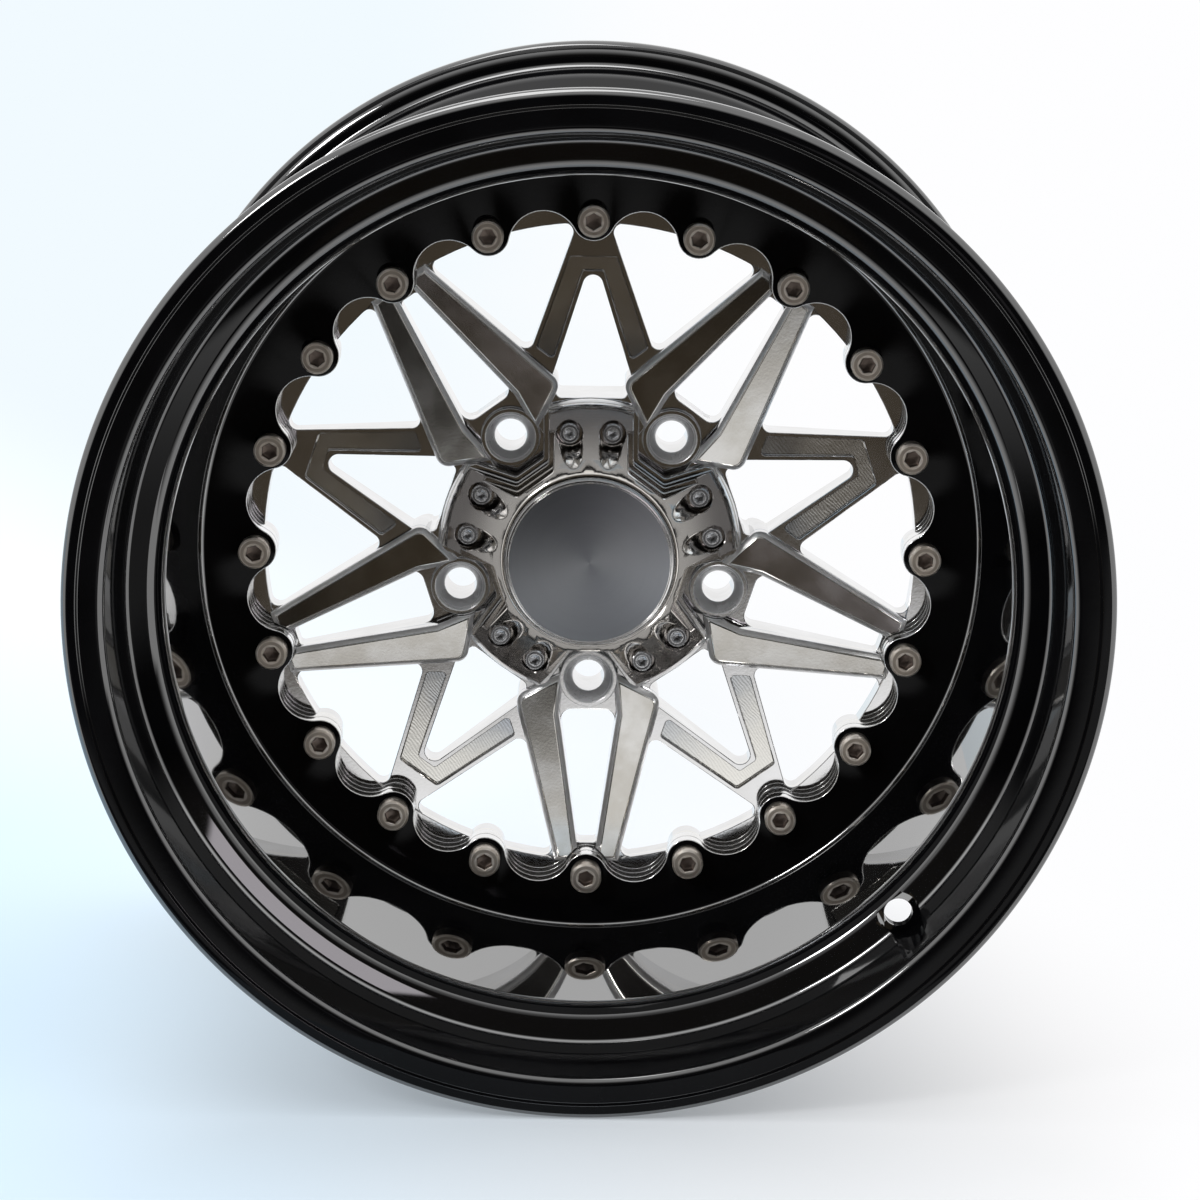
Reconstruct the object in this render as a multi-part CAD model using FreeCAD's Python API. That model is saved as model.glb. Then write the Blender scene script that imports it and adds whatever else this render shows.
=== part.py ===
"""Three-piece off-road wheel: a deep stepped lip, an inner barrel and a machined five-lug centre.

Each piece is drawn about its own axis with the hub mounting face at height 0 and the
front of the wheel upwards, then stood up so that the axle runs along Y and the front
of the wheel faces -Y.
"""
import FreeCAD, Part
import math
import os

Vector = FreeCAD.Vector

# Rim, in millimetres
BEAD_SEAT_DIAMETER = 380.2
FLANGE_HEIGHT = 10.9
RIM_WIDTH = 254.0
FRONT_SPACING = 152.4
FLANGE_ROLL = 16.0
FLANGE_FACE = 16.5
FLANGE_ROUND = 4.0
FLANGE_BORE_ROUND = 3.4
FLANGE_BACK = 4.5
BEAD_HEEL_ROUND = 3.5
BEAD_DROP = 1.7
BEAD_WALL = 6.0
BEAD_SHELF = 31.4
SHELF_DRAFT = 4.2
HUMP_DROP = 3.0
HUMP_ROUND = 2.0
STEP_WIDTH = 10.0
STEP_ROUND = 2.5
SHOULDER_DROP = 6.0
THROAT_LAND = 1.0
THROAT_ROUND = 4.0
DISH_WALL = 4.5
DISH_DRAFT = 2.4
DISH_ROUND = 2.0
BARREL_SHELF = 22.0
BARREL_LAND = 2.0
BARREL_ROUND = 2.5
WELL_LENGTH = 66.0
WELL_ROUND = 12.0
WELL_SHIFT = 3.0
VALVE_HOLE = 11.3
VALVE_INSET = 4.4
VALVE_SPOT_FACE = 17.0
VALVE_SPOT_DEPTH = 1.0
VALVE_ANGLE = -45.0

# Bolted joint between lip, barrel and centre
BOLT_COUNT = 20
BOLT_CIRCLE = 277.8
JOINT_HEIGHT = 39.0
JOINT_FLANGE = 6.0
LOBE_RADIUS = 8.7
SCALLOP_REACH = 4.9
SEAL_OFFSET = 4.0
SEAL_WIDTH = 3.6
SEAL_DEPTH = 2.6
SEAL_ROUND = 0.8
SEAL_WALL = 4.2
SPOT_FACE_DIAMETER = 15.2
SPOT_FACE_DEPTH = 0.4

# Rim screws
SCREW_DIAMETER = 8.0
SCREW_HEAD = 13.0
SCREW_HEAD_HEIGHT = 8.0
SCREW_KEY = 6.0
SCREW_GRIP_EXTRA = 9.0
HEAD_CHAMFER_SHARE = 1 / 12
SOCKET_DEPTH_SHARE = 1 / 2

# Machined centre
LUG_COUNT = 5
LUG_CIRCLE = 114.3
LUG_HOLE = 13.4
LUG_SEAT_MOUTH = 20.8
LUG_SEAT_ANGLE = 60.0
LUG_PAD_HEIGHT = 31.0
LUG_BOSS_RADIUS = 12.2
POCKET_WALL = 43.0
POCKET_STAIR = 2.2
POCKET_STAIR_HEIGHT = 7.0
POCKET_STAIRS = 2
POCKET_ROUND = 2.0
LUG_WEB_DROP = 4.0
HUB_BORE = 64.1
HUB_RADIUS = 63.3
HUB_EDGE_HEIGHT = 37.0
HUB_EDGE_ROUND = 11.0
PAD_WIDTH = 30.4
HUB_CROWN_HEIGHT = 59.5
MOUNT_PAD_RADIUS = 68.0
RING_THICKNESS = 12.0
RING_INSET = 2.6
RING_REACH = 13.1
SPOKE_FACE_HEIGHT = 36.5
SPOKE_BEVEL = 2.2
SPOKE_ROOT_HEIGHT = 12.0
SPOKE_ROOT_ROUND = 4.0
PRONG_START_BACK = 3.4
PRONG_START_INSET = 1.6
KNEE_ALONG = 64.0
KNEE_ASIDE = 31.0
KNEE_ROUND = 5.5
SPOKE_TIP_ASIDE = 13.5
GAP_START = 71.4
GAP_ROOT_WIDTH = 24.4
GAP_TIP_WIDTH = 8.2
GAP_TIP_WALL = 1.0
GAP_ROOT_ROUND = 4.7
GAP_TIP_ROUND = 1.8
VEE_HEIGHT = 32.0
VEE_TIP_REACH = 2.0
VEE_TIP_ASIDE = 5.9
VEE_ROOT_ASIDE = 26.0
VEE_ROOT_ALONG = 81.4
VEE_EYE_ALONG = 124.5
VEE_EYE_ASIDE = 17.2
VEE_EYE_ROOT = 70.0
VEE_EYE_FLOOR = 27.8
VEE_EYE_ROUND = 4.2
VEE_FLOOR_ROUND = 2.6
VEE_BORDER = 1.9
TROUGH_DEPTH = 2.5
TROUGH_ROUND = 1.6
TROUGH_CROTCH = 8.0
TROUGH_TIP_WALL = 8.0
TROUGH_ROOT_WALL = 3.0
TROUGH_ROOT_SLANT = 5.0
WINDOW_ROUND = 3.6

# Centre cap and its ring
CAP_DIAMETER = 70.5
CAP_HEIGHT = 6.0
CAP_SINK = 2.5
CAP_LAND = 1.2
CAP_BEVEL = 1.0
CAP_GROOVE_WIDTH = 0.6
CAP_GROOVE_DEPTH = 0.6
CAP_GROOVE_SLOPE = 0.4
CAP_SKIRT_LENGTH = 14.0
CAP_LEAD_IN = 0.8
CAP_LEAD_LENGTH = 1.5
CAP_BORE = 66.6
CAP_BORE_DEPTH = 17.0
CAP_SKIRT_WALL = 3.2
CAP_RING_WIDTH = 2.6
CAP_RING_DEPTH = 1.7
CAP_RING_ROUND = 0.5

# Hub screws
HUB_SCREW_ALONG = 50.4
HUB_SCREW_ASIDE = 8.9
HUB_SCREW_DIAMETER = 5.0
HUB_SCREW_HEAD = 8.5
HUB_SCREW_HEAD_HEIGHT = 4.4
HUB_SCREW_KEY = 4.0
HUB_SCREW_REACH = 10.0
HUB_SEAT_HEIGHT = 39.5
HUB_SEAT_RADIUS = 5.5
HUB_TAP_EXTRA = 2.0
RELIEF_RADIUS = 4.7
RELIEF_LENGTH = 33.0
RELIEF_RISE = 2.75
RELIEF_TILT = 25.0

# Clearances
SCREW_CLEARANCE = 0.5
THREAD_CLEARANCE = 0.05
SCALLOP_CLEARANCE = 0.4
REGISTER_CLEARANCE = 0.1
CAP_CLEARANCE = 0.3
SKIRT_CLEARANCE = 0.2
OVERCUT = 1.0

# Worked out from the sizes above
BEAD_RADIUS = BEAD_SEAT_DIAMETER / 2
RIM_RADIUS = BEAD_RADIUS + FLANGE_HEIGHT
FRONT_FACE = FRONT_SPACING + FLANGE_ROLL
REAR_FLANGE = FRONT_SPACING - RIM_WIDTH
REAR_FACE = REAR_FLANGE - FLANGE_ROLL
BOLT_RADIUS = BOLT_CIRCLE / 2
BOLT_PITCH = 360.0 / BOLT_COUNT
LUG_RADIUS = LUG_CIRCLE / 2
LUG_PITCH = 360.0 / LUG_COUNT
LIP_FACE = JOINT_HEIGHT + JOINT_FLANGE
RING_TOP = JOINT_HEIGHT - JOINT_FLANGE
RING_BOTTOM = RING_TOP - RING_THICKNESS
RING_BORE = BOLT_RADIUS - RING_INSET
RING_OUTER_RADIUS = BOLT_RADIUS + RING_REACH
SEAL_RADIUS = RING_OUTER_RADIUS + SEAL_OFFSET
DISH_DEPTH_RADIUS = SEAL_RADIUS + SEAL_WIDTH / 2 + SEAL_WALL
HEAD_SEAT = LIP_FACE - SPOT_FACE_DEPTH
FLANGE_BORE = RIM_RADIUS - FLANGE_FACE
LOBE_EDGE = BOLT_RADIUS - LOBE_RADIUS
GAP_TIP = LOBE_EDGE - GAP_TIP_WALL
VEE_TIP_ALONG = RING_BORE + VEE_TIP_REACH
CAP_SEAT = HUB_CROWN_HEIGHT - CAP_SINK
BELOW = -OVERCUT
ABOVE = FRONT_FACE
LUG_ANGLES = [-90.0 + LUG_PITCH * step for step in range(LUG_COUNT)]
VEE_ANGLES = [angle + LUG_PITCH / 2 for angle in LUG_ANGLES]
BOLT_ANGLES = [90.0 + BOLT_PITCH * step for step in range(BOLT_COUNT)]


def polar(radius, angle):
    """Point at a radius and an angle in degrees, seen from the front."""
    turn = math.radians(angle)
    return Vector(radius * math.cos(turn), radius * math.sin(turn), 0)


def rounded_outline(corners):
    """Closed wire through (x, y, radius) corners, each rounded by a tangent arc."""
    edges = []
    ends = []
    for number, (x, y, radius) in enumerate(corners):
        here = Vector(x, y, 0)
        before = Vector(*corners[number - 1][:2], 0) - here
        after = Vector(*corners[(number + 1) % len(corners)][:2], 0) - here
        before.normalize()
        after.normalize()
        if radius == 0:
            ends.append((here, here))
            continue
        half = before.getAngle(after) / 2
        reach = radius / math.tan(half)
        middle = before + after
        middle.normalize()
        centre = here + middle * (radius / math.sin(half))
        start = here + before * reach
        finish = here + after * reach
        edges.append(Part.Arc(start, centre - middle * radius, finish).toShape())
        ends.append((start, finish))
    for number, (start, finish) in enumerate(ends):
        following = ends[(number + 1) % len(ends)][0]
        if finish.distanceToPoint(following) > 1e-6:
            edges.append(Part.LineSegment(finish, following).toShape())
    return Part.Wire(Part.__sortEdges__(edges))


def prism(corners, bottom, top):
    """Upright solid on a rounded outline."""
    face = Part.Face(rounded_outline(corners))
    face.translate(Vector(0, 0, bottom))
    return face.extrude(Vector(0, 0, top - bottom))


def turned(corners):
    """Solid of revolution of a (radius, height, rounding) section."""
    face = Part.Face(rounded_outline(corners))
    face.rotate(Vector(0, 0, 0), Vector(1, 0, 0), 90)
    return face.revolve(Vector(0, 0, 0), Vector(0, 0, 1), 360)


def cylinder(radius, bottom, top, place=Vector(0, 0, 0)):
    """Upright cylinder between two heights."""
    return Part.makeCylinder(radius, top - bottom, place + Vector(0, 0, bottom))


def spun(shape, angle):
    """Copy of a shape turned about the axle."""
    copy = shape.copy()
    copy.rotate(Vector(0, 0, 0), Vector(0, 0, 1), angle)
    return copy


def repeated(shape, angles):
    """Copies of a shape at each angle."""
    return [spun(shape, angle) for angle in angles]


def hexagon(across_flats, bottom, top):
    """Upright hexagonal prism for a key socket."""
    corner = across_flats / math.sqrt(3)
    points = [polar(corner, 60 * step) for step in range(6)]
    return prism([(point.x, point.y, 0) for point in points], bottom, top)


def scalloped(margin, bottom, top):
    """Solid that fills the wheel inside the scalloped edge of the bolting flanges."""
    lobe = LOBE_RADIUS + margin
    deepest = BOLT_RADIUS + SCALLOP_REACH - margin
    half = math.radians(BOLT_PITCH / 2)
    along = BOLT_RADIUS * math.cos(half) - deepest
    across = BOLT_RADIUS * math.sin(half)
    hollow = (along ** 2 + across ** 2 - lobe ** 2) / (2 * (lobe - along))
    edges = []
    for angle in BOLT_ANGLES:
        bolt = polar(BOLT_RADIUS, angle)
        touching = []
        for side in (-1, 1):
            middle = polar(deepest - hollow, angle + side * BOLT_PITCH / 2)
            way = middle - bolt
            way.normalize()
            touching.append(bolt + way * lobe)
        crest = polar(BOLT_RADIUS - lobe, angle)
        edges.append(Part.Arc(touching[0], crest, touching[1]).toShape())
        next_bolt = polar(BOLT_RADIUS, angle + BOLT_PITCH)
        back = polar(deepest - hollow, angle + BOLT_PITCH / 2) - next_bolt
        back.normalize()
        bottom_point = polar(deepest, angle + BOLT_PITCH / 2)
        edges.append(Part.Arc(touching[1], bottom_point, next_bolt + back * lobe).toShape())
    face = Part.Face(Part.Wire(Part.__sortEdges__(edges)))
    face.translate(Vector(0, 0, bottom))
    return face.extrude(Vector(0, 0, top - bottom))


def dish_radius(height):
    """Inside radius of the dish wall, which opens towards the front."""
    return DISH_DEPTH_RADIUS + (height - LIP_FACE) * math.tan(math.radians(DISH_DRAFT))


def flange_section(face, inward):
    """Rolled bead flange from its bore round to the bead heel; inward is the way to the middle."""
    heel = face + inward * FLANGE_ROLL
    return [
        (FLANGE_BORE, face, FLANGE_BORE_ROUND),
        (RIM_RADIUS, face, FLANGE_ROUND),
        (RIM_RADIUS, heel - inward * FLANGE_BACK, FLANGE_ROUND),
        (RIM_RADIUS - FLANGE_BACK, heel, FLANGE_ROUND),
        (BEAD_RADIUS, heel, BEAD_HEEL_ROUND),
    ]


def make_outer_lip():
    """Outer rim half: rolled flange, bead shelf, step with the valve hole, dish and bolting flange."""
    step = FRONT_FACE - BEAD_SHELF
    shelf = FLANGE_BORE - SHELF_DRAFT
    shoulder = shelf - STEP_WIDTH
    dish_top = step - SHOULDER_DROP
    neck = dish_radius(LIP_FACE) + DISH_WALL
    throat = dish_radius(dish_top) + DISH_WALL + THROAT_LAND
    hump = step - HUMP_DROP
    section = flange_section(FRONT_FACE, -1) + [
        (BEAD_RADIUS - BEAD_DROP, hump, HUMP_ROUND),
        (throat, hump - BEAD_WALL, THROAT_ROUND),
        (neck, JOINT_HEIGHT, 0),
        (LOBE_EDGE - LOBE_RADIUS, JOINT_HEIGHT, 0),
        (LOBE_EDGE - LOBE_RADIUS, LIP_FACE, 0),
        (dish_radius(LIP_FACE), LIP_FACE, DISH_ROUND),
        (dish_radius(dish_top), dish_top, STEP_ROUND),
        (shoulder, step, STEP_ROUND),
        (shelf, step, DISH_ROUND),
    ]
    lip = turned(section)
    lip = lip.cut(scalloped(0, JOINT_HEIGHT - OVERCUT, LIP_FACE + OVERCUT))
    valve = polar(shelf - VALVE_INSET, VALVE_ANGLE)
    cuts = [
        cylinder(VALVE_HOLE / 2, hump - BEAD_WALL - OVERCUT, step + OVERCUT, valve),
        cylinder(VALVE_SPOT_FACE / 2, step - VALVE_SPOT_DEPTH, FRONT_FACE - FLANGE_ROLL / 2, valve),
    ]
    for angle in BOLT_ANGLES:
        place = polar(BOLT_RADIUS, angle)
        hole = (SCREW_DIAMETER + SCREW_CLEARANCE) / 2
        cuts.append(cylinder(hole, JOINT_HEIGHT - OVERCUT, LIP_FACE + OVERCUT, place))
        cuts.append(cylinder(SPOT_FACE_DIAMETER / 2, HEAD_SEAT, LIP_FACE + OVERCUT, place))
    return lip.cut(cuts)


def make_inner_barrel():
    """Inner rim half: bolting flange with register and seal groove, well, bead seat and rolled flange."""
    inside = dish_radius(LIP_FACE)
    neck = inside + DISH_WALL
    well_end = JOINT_HEIGHT - WELL_LENGTH
    shelf_start = REAR_FLANGE + BARREL_SHELF
    back = RING_TOP - BARREL_LAND
    section = flange_section(REAR_FACE, 1) + [
        (BEAD_RADIUS - BEAD_DROP, shelf_start, BARREL_ROUND),
        (neck, well_end, WELL_ROUND),
        (neck, JOINT_HEIGHT, 0),
        (LOBE_EDGE - LOBE_RADIUS, JOINT_HEIGHT, 0),
        (LOBE_EDGE - LOBE_RADIUS, RING_TOP, 0),
        (RING_OUTER_RADIUS + REGISTER_CLEARANCE, RING_TOP, 0),
        (RING_OUTER_RADIUS + REGISTER_CLEARANCE, back, 0),
        (inside, back, BARREL_ROUND),
        (inside, well_end - WELL_SHIFT, WELL_ROUND),
        (FLANGE_BORE - SHELF_DRAFT, shelf_start - WELL_SHIFT, 2 * BARREL_ROUND),
    ]
    barrel = turned(section)
    barrel = barrel.cut(scalloped(0, RING_TOP - OVERCUT, JOINT_HEIGHT + OVERCUT))
    groove_floor = JOINT_HEIGHT - SEAL_DEPTH
    groove = cylinder(SEAL_RADIUS + SEAL_WIDTH / 2, groove_floor, JOINT_HEIGHT + OVERCUT)
    groove = groove.cut(cylinder(SEAL_RADIUS - SEAL_WIDTH / 2, groove_floor, JOINT_HEIGHT + OVERCUT))
    cuts = [groove]
    for angle in BOLT_ANGLES:
        hole = (SCREW_DIAMETER + SCREW_CLEARANCE) / 2
        cuts.append(cylinder(hole, RING_TOP - OVERCUT, JOINT_HEIGHT + OVERCUT, polar(BOLT_RADIUS, angle)))
    return barrel.cut(cuts)


def make_rim_seal():
    """Rubber ring that fills the groove between lip and barrel."""
    inner = SEAL_RADIUS - SEAL_WIDTH / 2
    outer = SEAL_RADIUS + SEAL_WIDTH / 2
    floor = JOINT_HEIGHT - SEAL_DEPTH
    return turned([
        (inner, floor, SEAL_ROUND),
        (outer, floor, SEAL_ROUND),
        (outer, JOINT_HEIGHT, SEAL_ROUND),
        (inner, JOINT_HEIGHT, SEAL_ROUND),
    ])


def socket_screw(diameter, head, head_height, key, seat, tip):
    """Socket-head screw whose head stands on the seat height and whose shank ends at the tip."""
    chamfer = head_height * HEAD_CHAMFER_SHARE
    top = seat + head_height
    blank = turned([
        (0, tip, 0),
        (diameter / 2 - chamfer, tip, 0),
        (diameter / 2, tip + chamfer, 0),
        (diameter / 2, seat, 0),
        (head / 2, seat, 0),
        (head / 2, top - chamfer, 0),
        (head / 2 - chamfer, top, 0),
        (0, top, 0),
    ])
    return blank.cut(hexagon(key, top - head_height * SOCKET_DEPTH_SHARE, top + OVERCUT))


def make_rim_screws():
    """Ring of screws that clamp lip and barrel to the tapped ring of the centre."""
    tip = RING_TOP - SCREW_GRIP_EXTRA
    screw = socket_screw(SCREW_DIAMETER, SCREW_HEAD, SCREW_HEAD_HEIGHT, SCREW_KEY, HEAD_SEAT, tip)
    screw.translate(polar(BOLT_RADIUS, 0))
    return Part.makeCompound(repeated(screw, BOLT_ANGLES))


def hub_screw_places():
    """Places of the hub screws, two on each pad between the lugs."""
    radius = math.hypot(HUB_SCREW_ALONG, HUB_SCREW_ASIDE)
    aside = math.degrees(math.atan2(HUB_SCREW_ASIDE, HUB_SCREW_ALONG))
    places = []
    for angle in VEE_ANGLES:
        places.append((angle - aside, polar(radius, angle - aside)))
        places.append((angle + aside, polar(radius, angle + aside)))
    return places


def make_hub_screws():
    """Pairs of small socket-head screws on the sloping pads of the hub."""
    tip = HUB_SEAT_HEIGHT - HUB_SCREW_REACH
    screw = socket_screw(
        HUB_SCREW_DIAMETER, HUB_SCREW_HEAD, HUB_SCREW_HEAD_HEIGHT, HUB_SCREW_KEY, HUB_SEAT_HEIGHT, tip
    )
    screws = []
    for angle, place in hub_screw_places():
        copy = screw.copy()
        copy.translate(place)
        screws.append(copy)
    return Part.makeCompound(screws)


def vee_eye():
    """Window inside one vee of spokes, along +X."""
    return prism([
        (VEE_EYE_ALONG, 0, VEE_EYE_ROUND),
        (VEE_EYE_ROOT, VEE_EYE_ASIDE, 0),
        (HUB_RADIUS, VEE_EYE_FLOOR / 2, VEE_FLOOR_ROUND),
        (HUB_RADIUS, -VEE_EYE_FLOOR / 2, VEE_FLOOR_ROUND),
        (VEE_EYE_ROOT, -VEE_EYE_ASIDE, 0),
    ], BELOW, ABOVE)


def side_window(side):
    """Large three-cornered window between a vee leg, a main spoke and the ring."""
    to_spoke = FreeCAD.Rotation(Vector(0, 0, 1), LUG_PITCH / 2)
    knee = to_spoke.multVec(Vector(KNEE_ALONG, -KNEE_ASIDE, 0))
    tip = to_spoke.multVec(Vector(RING_BORE, -SPOKE_TIP_ASIDE, 0))
    root = Vector(VEE_ROOT_ALONG, VEE_ROOT_ASIDE, 0)
    vee_tip = Vector(VEE_TIP_ALONG, VEE_TIP_ASIDE, 0)
    run = tip - knee
    leg = vee_tip - root
    share = ((root - knee).x * leg.y - (root - knee).y * leg.x) / (run.x * leg.y - run.y * leg.x)
    corner = knee + run * share
    far = corner + run * 2
    outer = corner + leg * 2
    wedge = prism([
        (corner.x, side * corner.y, 0),
        (far.x, side * far.y, 0),
        (outer.x, side * outer.y, 0),
    ], BELOW, ABOVE)
    window = wedge.common(cylinder(RING_BORE, BELOW, ABOVE))
    upright = [edge for edge in window.Edges if abs(edge.tangentAt(edge.FirstParameter).z) > 0.9]
    return window.makeFillet(WINDOW_ROUND, upright)


def spoke_gap():
    """Tapering gap between the two prongs of a main spoke, along +X."""
    return prism([
        (GAP_START, GAP_ROOT_WIDTH / 2, GAP_ROOT_ROUND),
        (GAP_TIP, GAP_TIP_WIDTH / 2, GAP_TIP_ROUND),
        (GAP_TIP, -GAP_TIP_WIDTH / 2, GAP_TIP_ROUND),
        (GAP_START, -GAP_ROOT_WIDTH / 2, GAP_ROOT_ROUND),
    ], BELOW, ABOVE)


def main_prong(side, bottom, top):
    """Upright blank of one prong of a main spoke, along +X."""
    taper = (GAP_ROOT_WIDTH - GAP_TIP_WIDTH) / 2 / (GAP_TIP - GAP_START)
    inner_tip = GAP_TIP_WIDTH / 2 - taper * (RING_BORE - GAP_TIP)
    return prism([
        (LUG_RADIUS - PRONG_START_BACK, side * (LUG_BOSS_RADIUS - PRONG_START_INSET), 0),
        (KNEE_ALONG, side * KNEE_ASIDE, KNEE_ROUND),
        (RING_BORE, side * SPOKE_TIP_ASIDE, 0),
        (RING_BORE, side * inner_tip, 0),
        (GAP_START, side * GAP_ROOT_WIDTH / 2, 0),
    ], bottom, top)


def bevelled_prong(side):
    """Raised prong with its face edges bevelled."""
    prong = main_prong(side, 0, SPOKE_FACE_HEIGHT)
    rim = [edge for edge in prong.Edges if edge.BoundBox.ZMin > SPOKE_FACE_HEIGHT - 0.01]
    return prong.makeChamfer(SPOKE_BEVEL, rim)


def hub_layer(half_width, wall, top):
    """Star-shaped layer of the hub cone: pads between the lugs, joined by walls square to each lug."""
    half = math.radians(LUG_PITCH / 2)
    aside = (wall * math.sin(half) - half_width) / math.cos(half)
    reach = HUB_RADIUS + half_width
    corners = []
    for angle in LUG_ANGLES:
        lug = FreeCAD.Rotation(Vector(0, 0, 1), angle)
        pad = FreeCAD.Rotation(Vector(0, 0, 1), angle + LUG_PITCH / 2)
        for turn, along, across, radius in (
            (lug, wall, -aside, POCKET_ROUND),
            (lug, wall, aside, POCKET_ROUND),
            (pad, reach, -half_width, 0),
            (pad, reach, half_width, 0),
        ):
            corner = turn.multVec(Vector(along, across, 0))
            corners.append((corner.x, corner.y, radius))
    return prism(corners, 0, top)


def hub_cone():
    """Sloping pads of the hub with stepped pockets round the lugs."""
    cone = turned([
        (HUB_BORE / 2, 0, 0),
        (HUB_RADIUS, 0, 0),
        (HUB_RADIUS, HUB_EDGE_HEIGHT, HUB_EDGE_ROUND),
        (CAP_DIAMETER / 2 + CAP_LAND, HUB_CROWN_HEIGHT, 0),
        (HUB_BORE / 2, HUB_CROWN_HEIGHT, 0),
    ])
    star = hub_layer(PAD_WIDTH / 2, POCKET_WALL - POCKET_STAIRS * POCKET_STAIR, HUB_CROWN_HEIGHT)
    for above in range(POCKET_STAIRS):
        width = PAD_WIDTH / 2 + (POCKET_STAIRS - above) * POCKET_STAIR
        top = LUG_PAD_HEIGHT + (above + 1) * POCKET_STAIR_HEIGHT
        star = star.fuse(hub_layer(width, POCKET_WALL - above * POCKET_STAIR, top))
    cone = cone.common(star)
    low = SPOKE_FACE_HEIGHT - SPOKE_BEVEL
    over = repeated(main_prong(1, low, ABOVE), LUG_ANGLES)
    over += repeated(main_prong(-1, low, ABOVE), LUG_ANGLES)
    return cone.cut(over)


def vee_trough():
    """Milled trough on the face of one vee of spokes, along +X."""
    eye_slope = VEE_EYE_ASIDE / (VEE_EYE_ALONG - VEE_EYE_ROOT)
    leg_slope = (VEE_ROOT_ASIDE - VEE_TIP_ASIDE) / (VEE_TIP_ALONG - VEE_ROOT_ALONG)
    crotch = VEE_EYE_ALONG - TROUGH_CROTCH
    tip = LOBE_EDGE - TROUGH_TIP_WALL
    root = VEE_ROOT_ALONG + TROUGH_ROOT_WALL
    slant = root - TROUGH_ROOT_SLANT

    def outer_edge(along):
        return VEE_TIP_ASIDE + leg_slope * (VEE_TIP_ALONG - along) - VEE_BORDER

    def inner_edge(along):
        return eye_slope * (VEE_EYE_ALONG - along) + VEE_BORDER

    right = [
        (tip, outer_edge(tip), TROUGH_ROUND),
        (root, outer_edge(root), TROUGH_ROUND),
        (slant, inner_edge(slant), TROUGH_ROUND),
        (crotch, inner_edge(crotch), TROUGH_ROUND),
    ]
    left = [(x, -y, radius) for x, y, radius in reversed(right)]
    return prism(right + left, VEE_HEIGHT - TROUGH_DEPTH, ABOVE)


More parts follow.
